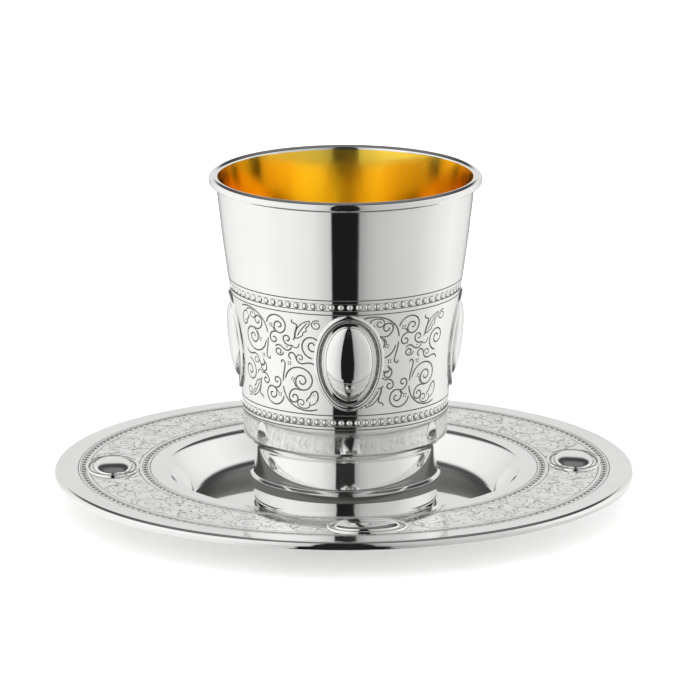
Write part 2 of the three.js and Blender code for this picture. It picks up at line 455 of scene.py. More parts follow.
def cup_motif():
    """One repeat of the cup's band: two halves alike by a half turn, and a leaf scroll between them."""
    half = [
        scroll(16.72, 50.2, -90, (0.45, 0.95, 0.87, 1.05, 2.07, 2.12, 2.5, 3.45)),
        scroll(15.1, 46.4, 45, (2.4, 1.3, 0.97, 0.88, 0.66, 0.3)),
        scroll(22.36, 36.33, 180, (0.33, 0.92, 1.25, 1.33, 1.5, 2.42, 2.95, 3.33, 4.5)),
        scroll(20.15, 31.75, 45, (2.8, 1.55, 1.33, 1.2, 0.95, 0.5, 0.25)),
        scroll(25.53, 45.67, 0, (0.6, 0.75, 0.88, 1.5, 1.83, 2.13, 2.5, 3.4)),
        stem((16.98, 40.3), (16.95, 40.83), (17.36, 41.13), (17.91, 40.67), (17.95, 39.67), (17.36, 37.33),
             (17.11, 35.5)),
        stem((17.11, 34.3), (17.28, 33.2), (18, 31.5), (19.45, 30), (21.1, 29.1), (22.95, 28.67),
             (24.8, 28.67), (26.5, 29.1)),
        scroll(18.95, 46.75, 315, (1.95, 1.08, 1, 0.9, 0.55, 0.3), turn=-1),
        stem((20.3, 45.3), (20.9, 44.8), (21.6, 44.75), (22.1, 45.3), (22.3, 46), width=FINE_WIDTH),
        stem((19.78, 41.58), (19.31, 42.08), (19.25, 42.8), (19.78, 43.33), (20.48, 43.33), (21.03, 42.67),
             (21.31, 41.75), (21.86, 41), (22.78, 40.72), (23.95, 41), (25.1, 41.08), (25.95, 40.67),
             (26.36, 39.92)),
        scroll(22.33, 42.33, 200, (1, 0.75, 0.65, 0.7, 0.3), turn=-1, width=FINE_WIDTH),
        scroll(22.1, 30.5, 200, (1.05, 0.9, 0.85, 0.6, 0.3), turn=-1, width=FINE_WIDTH),
        stem((21.1, 30.67), (21.2, 29.83), (22, 29.27), (23.2, 29.2), (24.2, 29.47), (24.5, 30.17),
             (24.35, 30.92), width=FINE_WIDTH),
        stem((23.5, 30.83), (23.85, 31.6), (24.6, 32.33), (24.93, 33.17), (25.76, 33.75), (26.35, 33.75),
             (26.76, 32.67), (26.6, 31.67), (26.26, 30.92)),
        stem((24.4, 30), (25.5, 30.33), (26.26, 30.92), width=FINE_WIDTH),
        stem((25.3, 32.6), (25.6, 32.75), (25.85, 32.75), width=FINE_WIDTH),
        stem((20.71, 52.08), (20.6, 51.5), (21.35, 51.13), (21.93, 50.83), (21.71, 49.83), (21.3, 48.67),
             (21.1, 47.33), (20.7, 46.67)),
        stem((21.3, 47.2), (21.5, 48.8), (22.2, 50.2), (23.4, 51.4), (25.2, 52.2), width=FINE_WIDTH),
        stem((25.2, 52.2), (25, 50.9), (24.2, 50.2), (24.3, 49.4), (23.4, 48.9), (23.3, 48.2), (22.4, 47.6),
             (21.3, 47.2), width=FINE_WIDTH),
        stem((21.9, 48), (23.1, 49.8), (24.6, 51.5), width=FINE_WIDTH),
        scroll(26.65, 51.2, 45, (1.35, 1, 1.05, 1.1, 0.75, 0.45, 0.25), width=FINE_WIDTH),
        stem((14.95, 49.53), (15.6, 48.7), (16.28, 48.35), width=FINE_WIDTH),
        stem((20.28, 35.9), (20.5, 35.2), (20.9, 34.5), width=FINE_WIDTH),
        *flower(14.5, 49.9, 30),
        *flower(20.08, 36.5, 20),
        *flower(19.28, 40.5, 45),
    ]
    between = [
        stem((15.41, 44.42), (16.03, 44.87), (16.86, 44.92), (17.61, 44.42), (18.36, 43.92), (19.28, 43.87),
             (19.91, 44.33), (20.2, 45)),
        scroll(16.45, 43.17, 0, (1.35, 0.85, 0.95, 0.83, 0.62, 0.3), turn=-1),
        stem((18.65, 44.62), (18.85, 44.7), (19.05, 44.65)),
        scroll(10.78, 38.33, 90, (1.5, 1.08, 1.2, 0.95, 0.45), turn=-1),
    ]
    return half + turned(half, 15.2, 40.95) + between


def sprigs(x, y, radius, angles):
    """Small hooked leaves round a scroll."""
    hooks = []
    for angle in angles:
        knots = []
        for out, ahead in HOOK:
            a = math.radians(angle + ahead)
            knots.append((x + (radius + out) * math.cos(a), y + (radius + out) * math.sin(a)))
        hooks.append(stem(*knots, width=FINE_WIDTH))
    return hooks


def saucer_motif():
    """One repeat of the saucer's band, with y counted from the band's middle radius."""
    half = [
        scroll(7.5, 2.9, 200, (0.45, 0.8, 1.1, 1.5, 2, 2.5, 3, 3.4, 3.5), width=SAUCER_WIDTH),
        scroll(8.3, -3.2, 60, (0.4, 0.7, 0.95, 1.3, 1.8, 2.1, 2.2), width=SAUCER_WIDTH),
        stem((10.9, 4.2), (12, 2.8), (12.7, 1), (12.9, -1.2), (12, -3.6), (10.6, -5), (8.2, -5.6),
             width=SAUCER_WIDTH),
        scroll(14.3, 4.2, 0, (0.3, 0.6, 0.85, 1.1, 1.5), width=SAUCER_WIDTH),
        scroll(3.1, -2.4, 120, (0.3, 0.55, 0.8, 1.1, 1.5, 1.9), turn=-1, width=SAUCER_WIDTH),
        scroll(12.2, -2.2, 0, (0.2, 0.45, 0.7, 0.9), width=SAUCER_WIDTH),
        stem((0.8, -5), (2.6, -5.3), (4.6, -5), (5.8, -3.8), (5.7, -2), (4.6, -0.6), width=SAUCER_WIDTH),
        stem((2, 5.2), (1.4, 3.8), (2, 2.2), (3.4, 1.2), width=SAUCER_WIDTH),
        stem((3, 5.8), (2.6, 4.6), (3.2, 3.4), width=SAUCER_WIDTH),
        stem((11.6, 5.6), (12.6, 5.2), (13, 4.2), width=SAUCER_WIDTH),
        stem((10.4, -0.6), (11.3, 0.2), (12.4, 0.2), width=SAUCER_WIDTH),
        *sprigs(7.5, 2.9, 3.4, (0, 40, 80, 120, 160, 205, 250, 300)),
        *sprigs(8.3, -3.2, 2.1, (-70, -25, 20, 130, 175, 220)),
        *sprigs(14.3, 4.2, 1.1, (60, 200, 270)),
        *sprigs(3.1, -2.4, 1.7, (20, 90, 160, 230)),
        *flower(11.2, -2.6, 10, 0.7),
        *flower(16.6, 1.6, 45, 0.7),
    ]
    return half + turned(half, 15, 0.1)


def offset(line, width):
    """The two outlines of a stroke, narrower at its ends."""
    way = np.gradient(line, axis=0)
    way /= np.maximum(np.linalg.norm(way, axis=1, keepdims=True), TINY)
    side = np.stack((-way[:, 1], way[:, 0]), 1)
    half = half_widths(line, width)[:, None]
    return line + side * half, line - side * half


def half_widths(line, width):
    count = len(line)
    from_end = np.minimum(np.arange(count), np.arange(count)[::-1])
    return width / 2 * np.where(from_end == 0, STROKE_END, 1)


def depths(points, strokes):
    """How deep each point lies, from 0 outside every stroke to 1 on a centre line."""
    depth = np.zeros(len(points))
    for line, width in strokes:
        reach = width / 2
        near = np.flatnonzero((points > line.min(0) - reach).all(1) & (points < line.max(0) + reach).all(1))
        if not len(near):
            continue
        spots = points[near][:, None]
        half = half_widths(line, width)
        start, way = line[:-1], np.diff(line, axis=0)
        t = np.clip(((spots - start) * way).sum(2) / np.maximum((way**2).sum(1), TINY), 0, 1)
        away = np.linalg.norm(spots - start - way * t[..., None], axis=2)
        reach = half[:-1] * (1 - t) + half[1:] * t
        depth[near] = np.maximum(depth[near], (1 - away / reach).max(1))
    depth[depth < SHALLOWEST] = 0
    return depth


def engraved(strokes, length, low, high, spacing):
    """Triangles of one repeat: flat points, how deep each lies, and which triangles are in a groove."""
    strokes = [
        (line + (shift, 0), width)
        for shift in (-length, 0, length)
        for line, width in strokes
        if (line[:, 0] + shift).max() > -1 and (line[:, 0] + shift).min() < length + 1
    ]
    points, edges = [], []

    def chain(line, closed=False):
        first = len(points)
        points.extend(map(tuple, line))
        edges.extend((first + i, first + i + 1) for i in range(len(line) - 1))
        if closed:
            edges.append((first + len(line) - 1, first))

    across, up = np.arange(0, length, spacing), np.arange(low, high, spacing)
    across, up = np.linspace(0, length, len(across) + 1), np.linspace(low, high, len(up) + 1)
    border = [(x, low) for x in across[:-1]] + [(length, y) for y in up[:-1]]
    border += [(x, high) for x in across[:0:-1]] + [(0, y) for y in up[:0:-1]]
    chain(border, closed=True)
    for line, width in strokes:
        chain(line)
        for side in offset(line, width):
            chain(side)
    for row, y in enumerate(up[1:-1]):
        points.extend((x + spacing / 2 * (row % 2), y) for x in across[1:-1])
    flat, _, triangles, *_ = delaunay_2d_cdt([Vector(p) for p in points], edges, [], 0, MERGE_DISTANCE)
    flat = np.array([tuple(p) for p in flat])
    triangles = np.array(triangles)
    middle = flat[triangles].mean(1)
    inside = (middle[:, 0] > 0) & (middle[:, 0] < length) & (middle[:, 1] > low) & (middle[:, 1] < high)
    triangles = triangles[inside]
    depth = depths(flat, strokes)
    cut = depths(flat[triangles].mean(1), strokes) > 0
    return flat, depth, triangles, cut & (depth[triangles].max(1) > 0)


def add_band(shell, pattern, repeats, place, line_depth):
    """Lays the repeats of a flat pattern; place gives points and normals for one repeat."""
    flat, depth, triangles, cut = pattern
    for repeat in range(repeats):
        points, normals = place(repeat, flat[:, 0], flat[:, 1], -line_depth * depth)
        corners = normals[triangles]
        ring = points[triangles]
        facing = np.cross(ring[:, 1] - ring[:, 0], ring[:, 2] - ring[:, 0])
        facing *= np.sign(np.einsum("ij,ij->i", facing, corners.sum(1)))[:, None]
        facing /= np.maximum(np.linalg.norm(facing, axis=1, keepdims=True), TINY)
        corners[cut] = facing[cut][:, None]
        # Groove faces get the dark finish: partly the patina of old silver in the engraving, partly painted
        # shade in the cuts.
        shell.add(points, triangles, corners, np.where(cut, PATINA_AND_SHADE, SILVER))


# Materials, with the scale of each kind of noise
CLOUD_SCALE = 45
POLISH_SCALE = 160
HAIRLINE_SCALE = 900
HAIRLINE_STRETCH = (1, 1, 0.06)
GRAIN_SCALE = 1500
BUMP_DISTANCE = 0.00002


def new_material(name):
    material = bpy.data.materials.new(name)
    material.use_nodes = True
    nodes, links = material.node_tree.nodes, material.node_tree.links
    return material, nodes, links, nodes["Principled BSDF"]


def noise(nodes, links, coordinates, scale, detail=3, stretch=None):
    texture = nodes.new("ShaderNodeTexNoise")
    texture.inputs["Scale"].default_value = scale
    texture.inputs["Detail"].default_value = detail
    source = coordinates.outputs["Object"]
    if stretch:
        mapping = nodes.new("ShaderNodeMapping")
        mapping.inputs["Scale"].default_value = stretch
        links.new(source, mapping.inputs["Vector"])
        source = mapping.outputs["Vector"]
    links.new(source, texture.inputs["Vector"])
    return texture.outputs["Fac"]


def ramp(nodes, links, source, low, high, first, last):
    """Maps a factor between low and high onto two colours."""
    node = nodes.new("ShaderNodeValToRGB")
    node.color_ramp.elements[0].position = low
    node.color_ramp.elements[1].position = high
    node.color_ramp.elements[0].color = first
    node.color_ramp.elements[1].color = last
    links.new(source, node.inputs["Fac"])
    return node.outputs["Color"]


def grey(value):
    return (value, value, value, 1)


def polished(name, dull, bright, roughness, scratch, cloud_stretch=None):
    """Polished metal: faint clouds of tarnish, uneven polish and fine hairlines."""
    material, nodes, links, shader = new_material(name)
    coordinates = nodes.new("ShaderNodeTexCoord")
    shader.inputs["Metallic"].default_value = 1
    clouds = noise(nodes, links, coordinates, CLOUD_SCALE, 2, cloud_stretch)
    links.new(ramp(nodes, links, clouds, 0.35, 0.7, dull, bright), shader.inputs["Base Color"])
    polish = noise(nodes, links, coordinates, POLISH_SCALE, 4)
    span = ramp(nodes, links, polish, 0.3, 0.75, grey(roughness[0]), grey(roughness[1]))
    links.new(span, shader.inputs["Roughness"])
    hairlines = noise(nodes, links, coordinates, HAIRLINE_SCALE, 2, HAIRLINE_STRETCH)
    bump = nodes.new("ShaderNodeBump")
    bump.inputs["Strength"].default_value = scratch
    bump.inputs["Distance"].default_value = BUMP_DISTANCE
    links.new(hairlines, bump.inputs["Height"])
    links.new(bump.outputs["Normal"], shader.inputs["Normal"])
    return material


def patina_and_shade_material(name, dark, light):
    """Dull grey for cut lines, grooves and creases, finely mottled: partly the patina of old silver in its
    engraving, partly painted shade.
    """
    material, nodes, links, shader = new_material(name)
    coordinates = nodes.new("ShaderNodeTexCoord")
    grains = noise(nodes, links, coordinates, GRAIN_SCALE)
    shader.inputs["Metallic"].default_value = 0.7
    shader.inputs["Roughness"].default_value = 0.45
    links.new(ramp(nodes, links, grains, 0.3, 0.7, dark, light), shader.inputs["Base Color"])
    return material


silver = polished("silver", (0.86, 0.86, 0.85, 1), (0.91, 0.91, 0.9, 1), (0.03, 0.07), 0.08)
gold = polished("gilding", (0.86, 0.46, 0.015, 1), (1, 0.72, 0.09, 1), (0.09, 0.16), 0.3, (1, 1, 0.15))
# Dark finishes for cut lines and grooves, partly patina and partly painted shade; the saucer's is lighter.
patina_and_shade = patina_and_shade_material("patina_and_shade", (0.07, 0.07, 0.065, 1), (0.16, 0.155, 0.15, 1))
light_patina_and_shade = patina_and_shade_material("light_patina_and_shade", (0.3, 0.3, 0.29, 1), (0.46, 0.46, 0.45, 1))
CUP_FINISHES = (silver, gold, patina_and_shade)
SAUCER_FINISHES = (silver, gold, light_patina_and_shade)


# Cup
def bowl_inside():
    """The gilded lining, from the middle of the floor up to the mouth."""
    inner_start = BOWL_FLOOR_HEIGHT + FLOOR_FILLET
    floor_end = float(bowl_radius(inner_start)) - BOWL_SHEET - FLOOR_FILLET
    heights = np.linspace(inner_start, MOUTH_HEIGHT, LINING_STEPS)
    mouth_gap = RIM_MOUTH_RADIUS - (float(bowl_radius(MOUTH_HEIGHT)) - BOWL_SHEET)
    flare = mouth_gap * np.clip((heights - FLARE_START) / (MOUTH_HEIGHT - FLARE_START), 0, 1) ** FLARE_POWER
    lining = np.stack((bowl_radius(heights) - BOWL_SHEET + flare, heights), 1)
    return joined(
        path((0, BOWL_FLOOR_HEIGHT), (floor_end, BOWL_FLOOR_HEIGHT)),
        arc((floor_end, inner_start), FLOOR_FILLET, -90, 0, FOOT_STEPS, -1),
        sampled(lining),
    )


def foot_outside():
    """From the bowl's rounded base down the neck, over the shoulder and round the foot's base."""
    return joined(
        arc((BOWL_BASE_RADIUS - BASE_ROUND, BOWL_BASE_HEIGHT), BASE_ROUND, 0, -90, ROUND_STEPS),
        path(
            (BOWL_BASE_RADIUS - BASE_ROUND, BOWL_UNDER_HEIGHT),
            (NECK_RADIUS, BOWL_UNDER_HEIGHT, NECK_TOP_FILLET),
            (NECK_RADIUS, NECK_HEIGHT, NECK_FILLET),
            (SHOULDER_RADIUS, SHOULDER_HEIGHT, SHOULDER_FILLET),
            (FOOT_RADIUS, FOOT_EDGE_HEIGHT, FOOT_EDGE_FILLET),
            (FOOT_BELLY_RADIUS, FOOT_BELLY_HEIGHT, FOOT_BELLY_FILLET),
            (FOOT_BASE_RADIUS, FOOT_BASE_ROUND + FOOT_BASE_RISE),
            (FOOT_BASE_RADIUS, FOOT_BASE_ROUND),
        ),
        arc((FOOT_BASE_RADIUS - FOOT_BASE_ROUND, FOOT_BASE_ROUND), FOOT_BASE_ROUND, 0, -90, FOOT_STEPS),
    )


def foot_hollow():
    """Up the inside of the foot to the underside of the bowl."""
    neck_inside = NECK_RADIUS - FOOT_SHEET
    return path(
        (FOOT_BASE_RADIUS - FOOT_BASE_ROUND, 0),
        (FOOT_BASE_RADIUS - FOOT_BASE_ROUND - FOOT_SHEET / 2, 0),
        (FOOT_BASE_RADIUS - FOOT_SHEET, FOOT_BASE_ROUND, HOLLOW_END_FILLET),
        (FOOT_RADIUS - FOOT_SHEET, FOOT_EDGE_HEIGHT - FOOT_SHEET, HOLLOW_FILLET),
        (SHOULDER_RADIUS - FOOT_SHEET, SHOULDER_HEIGHT, HOLLOW_FILLET),
        (neck_inside, NECK_HEIGHT, NECK_FILLET),
        (neck_inside, BOWL_UNDER_HEIGHT, HOLLOW_END_FILLET),
        (0, BOWL_UNDER_HEIGHT),
    )


def add_cup_border(shell, border):
    """Two cut lines with a shallow channel between them, from the upper to the lower."""
    line, near, far, outer = border
    half = BORDER_WIDTH / 2
    # The two cut lines take the dark finish: partly patina in the engraving, partly painted shade.
    for place in (line, outer):
        cut = (
            (bowl_radius(place + half), place + half),
            (bowl_radius(place) - CUP_CUT_DEPTH, place),
            (bowl_radius(place - half), place - half),
        )
        shell.revolve(path(*cut), CUP_SEGMENTS, PATINA_AND_SHADE)
    high, low = max(near, far), min(near, far)
    top, bottom = max(line, outer), min(line, outer)
    bed_top = (bowl_radius(high) - CHANNEL_DEPTH, high - CHANNEL_SLOPE)
    bed_end = (bowl_radius(low) - CHANNEL_DEPTH, low + CHANNEL_SLOPE)
    shell.revolve(wall(top - half, high), CUP_SEGMENTS, SILVER)
    # The channel's sloping sides take the dark finish as painted shade.
    shell.revolve(path((bowl_radius(high), high), bed_top), CUP_SEGMENTS, PATINA_AND_SHADE)
    shell.revolve(path(bed_top, bed_end), CUP_SEGMENTS, SILVER)
    shell.revolve(path(bed_end, (bowl_radius(low), low)), CUP_SEGMENTS, PATINA_AND_SHADE)
    shell.revolve(wall(low, bottom + half), CUP_SEGMENTS, SILVER)


def build_cup():
    shell = Shell()
    inside = bowl_inside()
    shell.revolve(inside, CUP_SEGMENTS, GOLD)
    lip_start = (RIM_MOUTH_RADIUS + LINING_TO_BEAD[0], MOUTH_HEIGHT + LINING_TO_BEAD[1])
    bead = arc((RIM_RADIUS - RIM_BEAD, CUP_HEIGHT - RIM_BEAD), RIM_BEAD, *BEAD_ARC, BEAD_STEPS)
    shell.revolve(joined(sampled([inside[0][-1], lip_start]), bead), CUP_SEGMENTS, SILVER)

    upper, lower = CUP_BORDERS
    half = BORDER_WIDTH / 2
    shell.revolve(wall(WALL_END_HEIGHT, upper[3] + half), CUP_SEGMENTS, SILVER)
    for border in CUP_BORDERS:
        add_cup_border(shell, border)
    under = joined(wall(lower[3] - half, BOWL_BASE_HEIGHT), foot_outside(), foot_hollow())
    shell.revolve(under, CUP_SEGMENTS, SILVER)

    # The band fills the wall between its two border lines.
    length = 2 * math.pi * CUP_BAND_RADIUS / CUP_MOTIFS
    pattern = engraved(cup_motif(), length, lower[0] + half, upper[0] - half, CUP_BAND_STEP)

    def on_wall(repeat, x, z, height):
        angle = x / CUP_BAND_RADIUS + 2 * math.pi * repeat / CUP_MOTIFS
        slope = bowl_slope(z)
        radius = bowl_radius(z) + height
        points = np.stack((radius * np.sin(angle), -radius * np.cos(angle), z), 1)
        normals = np.stack((np.sin(angle), -np.cos(angle), -slope), 1)
        return points, normals / np.sqrt(1 + slope**2)[:, None]

    add_band(shell, pattern, CUP_MOTIFS, on_wall, LINE_DEPTH)

    for border in CUP_BORDERS:
        z = (border[1] + border[2]) / 2
        bed = float(bowl_radius(z)) - CHANNEL_DEPTH

        def in_channel(angle, across, along, height, z=z, bed=bed):
            turn = angle + across / bed
            radius = bed + float(bowl_slope(z)) * along + height
            return np.stack((radius * np.sin(turn), -radius * np.cos(turn), z + along + 0 * turn), -1)

        add_beads(shell, CUP_BEADS, in_channel, CUP_BEAD)
    for turn in CUP_BOSS_TURNS:
        add_boss(shell, CUP_BOSS, cup_boss_place(turn))
    return shell.piece("cup_silver", CUP_PLACE, CUP_FINISHES)


# Saucer
def well_wall(shift, steps):
    """The S-curve from the well's floor to the brim, moved inwards by shift."""
    foot, head = np.array((WELL_FLOOR_RADIUS, SAUCER_SHEET)), np.array((WELL_EDGE_RADIUS, SAUCER_HEIGHT))
    knots = foot, foot + (FLOOR_PULL, 0), head - (BRIM_PULL, 0), head
    t = np.linspace(0, 1, steps + 1)[:, None]
    blend = ((1 - t) ** 3, 3 * t * (1 - t) ** 2, 3 * t * t * (1 - t), t**3)
    points = sum(b * k for b, k in zip(blend, knots))
    speed = ((1 - t) ** 2, 2 * t * (1 - t), t * t)
    ways = sum(b * (knots[i + 1] - knots[i]) for i, b in enumerate(speed))
    normals = np.array([left_of(w) for w in ways])
    return points - shift * normals, normals


def brim(first, second):
    return path((first, SAUCER_HEIGHT), (second, SAUCER_HEIGHT))


def add_saucer_border(shell, border):
    """Two cut lines with a shallow channel between them, from the inner to the outer."""
    line, near, far, edge = border
    half = BORDER_WIDTH / 2
    low, high = min(near, far), max(near, far)
    start, end = min(line, edge), max(line, edge)
    # The two cut lines take the dark finish: partly patina in the engraving, partly painted shade.
    for place in (start, end):
        bottom = (place, SAUCER_HEIGHT - LINE_DEPTH)
        cut = path((place - half, SAUCER_HEIGHT), bottom, (place + half, SAUCER_HEIGHT))
        shell.revolve(cut, SAUCER_SEGMENTS, PATINA_AND_SHADE)
    bed = SAUCER_HEIGHT - CHANNEL_DEPTH
    bed_start, bed_end = (low + CHANNEL_SLOPE, bed), (high - CHANNEL_SLOPE, bed)
    shell.revolve(brim(start + half, low), SAUCER_SEGMENTS, SILVER)
    # The channel's sloping sides take the dark finish as painted shade.
    shell.revolve(path((low, SAUCER_HEIGHT), bed_start), SAUCER_SEGMENTS, PATINA_AND_SHADE)
    shell.revolve(path(bed_start, bed_end), SAUCER_SEGMENTS, SILVER)
    shell.revolve(path(bed_end, (high, SAUCER_HEIGHT)), SAUCER_SEGMENTS, PATINA_AND_SHADE)
    shell.revolve(brim(high, end - half), SAUCER_SEGMENTS, SILVER)


def build_saucer():
    shell = Shell()
    half = BORDER_WIDTH / 2
    inner, outer = SAUCER_BORDERS
    floor = path((0, SAUCER_SHEET), (WELL_FLOOR_RADIUS, SAUCER_SHEET))
    shell.revolve(joined(floor, well_wall(0, WELL_STEPS)), SAUCER_SEGMENTS, SILVER)
    shell.revolve(brim(WELL_EDGE_RADIUS, inner[3] - half), SAUCER_SEGMENTS, SILVER)
    for border in SAUCER_BORDERS:
        add_saucer_border(shell, border)
    lip_low = SAUCER_HEIGHT - LIP_DROP
    lip = path(
        (outer[3] + half, SAUCER_HEIGHT),
        (SAUCER_RADIUS, SAUCER_HEIGHT, LIP_ROUND),
        (SAUCER_RADIUS, lip_low, LIP_EDGE_FILLET),
        (SAUCER_RADIUS - SAUCER_SHEET, lip_low, LIP_EDGE_FILLET),
        (SAUCER_RADIUS - SAUCER_SHEET, SAUCER_HEIGHT - SAUCER_SHEET, LIP_INNER_FILLET),
        (WELL_EDGE_RADIUS, SAUCER_HEIGHT - SAUCER_SHEET),
    )
    shell.revolve(lip, SAUCER_SEGMENTS, SILVER)
    under_points, under_normals = well_wall(SAUCER_SHEET, WELL_UNDER_STEPS)
    shell.revolve((under_points[::-1], -under_normals[::-1]), SAUCER_SEGMENTS, SILVER)
    shell.revolve(path((WELL_FLOOR_RADIUS, 0), (0, 0)), SAUCER_SEGMENTS, SILVER)

    length = 2 * math.pi * SAUCER_BAND_RADIUS / SAUCER_MOTIFS
    low, high = inner[0] + half - SAUCER_BAND_RADIUS, outer[0] - half - SAUCER_BAND_RADIUS
    pattern = engraved(saucer_motif(), length, low, high, SAUCER_BAND_STEP)

    def on_brim(repeat, x, y, height):
        angle = x / SAUCER_BAND_RADIUS + 2 * math.pi * repeat / SAUCER_MOTIFS
        radius = SAUCER_BAND_RADIUS + y
        points = np.stack((radius * np.sin(angle), -radius * np.cos(angle), SAUCER_HEIGHT + height), 1)
        return points, np.tile((0.0, 0.0, 1.0), (len(points), 1))

    add_band(shell, pattern, SAUCER_MOTIFS, on_brim, LINE_DEPTH)

    for border in SAUCER_BORDERS:
        row = (border[1] + border[2]) / 2

        def in_channel(angle, across, along, height, row=row):
            turn = angle + across / row
            radius = row + along
            z = SAUCER_HEIGHT - CHANNEL_DEPTH + height
            return np.stack((radius * np.sin(turn), -radius * np.cos(turn), z + 0 * turn), -1)

        add_beads(shell, round(2 * math.pi * row / BEAD_PITCH), in_channel, SAUCER_BEAD)
    for turn in SAUCER_BOSS_TURNS:
        add_boss(shell, SAUCER_BOSS, saucer_boss_place(turn))
    return shell.piece("saucer_silver", (0, 0, 0), SAUCER_FINISHES)


cup = build_cup()
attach(cup, "root")
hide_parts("cup")

saucer = build_saucer()
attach(saucer, "root")
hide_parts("saucer")


# Studio
def emitter(name, colour_source):
    """A card that only reflections see."""
    material = bpy.data.materials.new(name)
    material.use_nodes = True
    nodes, links = material.node_tree.nodes, material.node_tree.links
    nodes.clear()
    emission = nodes.new("ShaderNodeEmission")
    output = nodes.new("ShaderNodeOutputMaterial")
    links.new(emission.outputs["Emission"], output.inputs["Surface"])
    emission.inputs["Strength"].default_value = STUDIO_POWER
    colour_source(nodes, links, emission.inputs["Color"])
    return material


def card(name, corners, faces, material):
    mesh = bpy.data.meshes.new(name)
    mesh.from_pydata(corners, [], faces)
    mesh.materials.append(material)
    item = bpy.data.objects.new(name, mesh)
    bpy.context.collection.objects.link(item)
    return item


def only_in_reflections(item):
    item.visible_camera = False
    item.visible_diffuse = False
    item.visible_shadow = False
    item.visible_transmission = False
    item.visible_volume_scatter = False


FLOOR_HALF = 6
FLOOR_GRAIN_SCALE = 90
floor_material, floor_nodes, floor_links, floor_shader = new_material("paper")
floor_shader.inputs["Roughness"].default_value = 0.9
floor_shader.inputs["Specular IOR Level"].default_value = 0
floor_coordinates = floor_nodes.new("ShaderNodeTexCoord")
floor_grain = noise(floor_nodes, floor_links, floor_coordinates, FLOOR_GRAIN_SCALE)
floor_colour = ramp(floor_nodes, floor_links, floor_grain, 0.3, 0.7, grey(0.9), grey(0.915))
floor_links.new(floor_colour, floor_shader.inputs["Base Color"])
floor_corners = [(x * FLOOR_HALF, y * FLOOR_HALF, 0) for x, y in ((-1, -1), (1, -1), (1, 1), (-1, 1))]
card("floor", floor_corners, [(0, 1, 2, 3)], floor_material)

# What the silver reflects is drawn on a dome and on a ring of card over the floor, by the angle round the
# axis: degrees from the front, to the right, and brightness. The dark gap in front is where the camera
# looks in.
STUDIO_POWER = 1.2
GAP_LEFT, GAP_RIGHT = -11.6, 11.2
LOW_STOPS = (
    (-179, 0.78), (-152, 0.78), (-134, 0.92), (-112, 1.02), (-80, 1.06), (-48, 0.98), (-30, 0.89),
    (-17, 0.69), (GAP_LEFT - 0.4, 0.6), (GAP_LEFT, 0.012), (GAP_RIGHT, 0.012), (GAP_RIGHT + 0.4, 0.33),
    (15.5, 0.41), (20.5, 0.5), (29, 0.58), (52, 0.665), (67, 0.72), (83, 0.84), (96, 0.93), (111, 1),
    (134, 0.92), (152, 0.78), (179, 0.78),
)
# The card is darker behind, where the silver's outlines mirror it.
CARD_STOPS = (
    (-179, 0.25), (-166, 0.28), (-156, 0.55), (-148, 0.8), *LOW_STOPS[2:-2], (148, 0.8), (156, 0.55),
    (166, 0.28), (179, 0.25),
)
TOP_STOPS = ((-179, 0.06), (-90, 0.12), (-20, 0.08), (20, 0.05), (90, 0.07), (179, 0.06))
# Above a plane that leans down towards the back the dome is dark, and further up it is a dim grey.
TOP_LEAN = 0.42
TOP_EDGE = (0.71, 0.81)
ZENITH_EDGE = (0.88, 1.0)
ZENITH_BRIGHTNESS = 0.2
DOME_RADIUS = 1
DOME_RINGS = 40
DOME_OPENING = 0.001
RING_STEPS = 96
CARD_INNER, CARD_LIFT = 0.0735, 0.0002


def stop_ramp(nodes, links, source, stops):
    ramp_node = nodes.new("ShaderNodeValToRGB")
    elements = ramp_node.color_ramp.elements
    for degrees, brightness in stops:
        elements.new((degrees + 180) / 360).color = grey(brightness / STUDIO_POWER)
    elements.remove(elements[-1])
    elements.remove(elements[0])
    links.new(source, ramp_node.inputs["Fac"])
    return ramp_node.outputs["Color"]


def turn_share(nodes, links, split):
    """The angle round the axis as a share of a full turn, half at the front."""
    flip = nodes.new("ShaderNodeMath")
    flip.operation = "MULTIPLY"
    flip.inputs[1].default_value = -1
    links.new(split.outputs["Y"], flip.inputs[0])
    turn = nodes.new("ShaderNodeMath")
    turn.operation = "ARCTAN2"
    links.new(split.outputs["X"], turn.inputs[0])
    links.new(flip.outputs[0], turn.inputs[1])
    share = nodes.new("ShaderNodeMapRange")
    share.inputs["From Min"].default_value = -math.pi
    share.inputs["From Max"].default_value = math.pi
    links.new(turn.outputs[0], share.inputs["Value"])
    return share.outputs["Result"]


def colour_socket(sockets, name):
    """The colour socket of that name, among others that share the name."""
    return next(socket for socket in sockets if socket.name == name and socket.type == "RGBA")


def blended(nodes, links, height, edge, below):
    """A colour that gives way to another between two heights: the other's open socket, and the result."""
    share = nodes.new("ShaderNodeMapRange")
    share.interpolation_type = "SMOOTHSTEP"
    share.inputs["From Min"].default_value, share.inputs["From Max"].default_value = edge
    links.new(height, share.inputs["Value"])
    mix = nodes.new("ShaderNodeMix")
    mix.data_type = "RGBA"
    links.new(share.outputs["Result"], mix.inputs["Factor"])
    links.new(below, colour_socket(mix.inputs, "A"))
    return colour_socket(mix.inputs, "B"), colour_socket(mix.outputs, "Result")


def place_split(nodes, links):
    coordinates = nodes.new("ShaderNodeTexCoord")
    split = nodes.new("ShaderNodeSeparateXYZ")
    links.new(coordinates.outputs["Object"], split.inputs["Vector"])
    return split


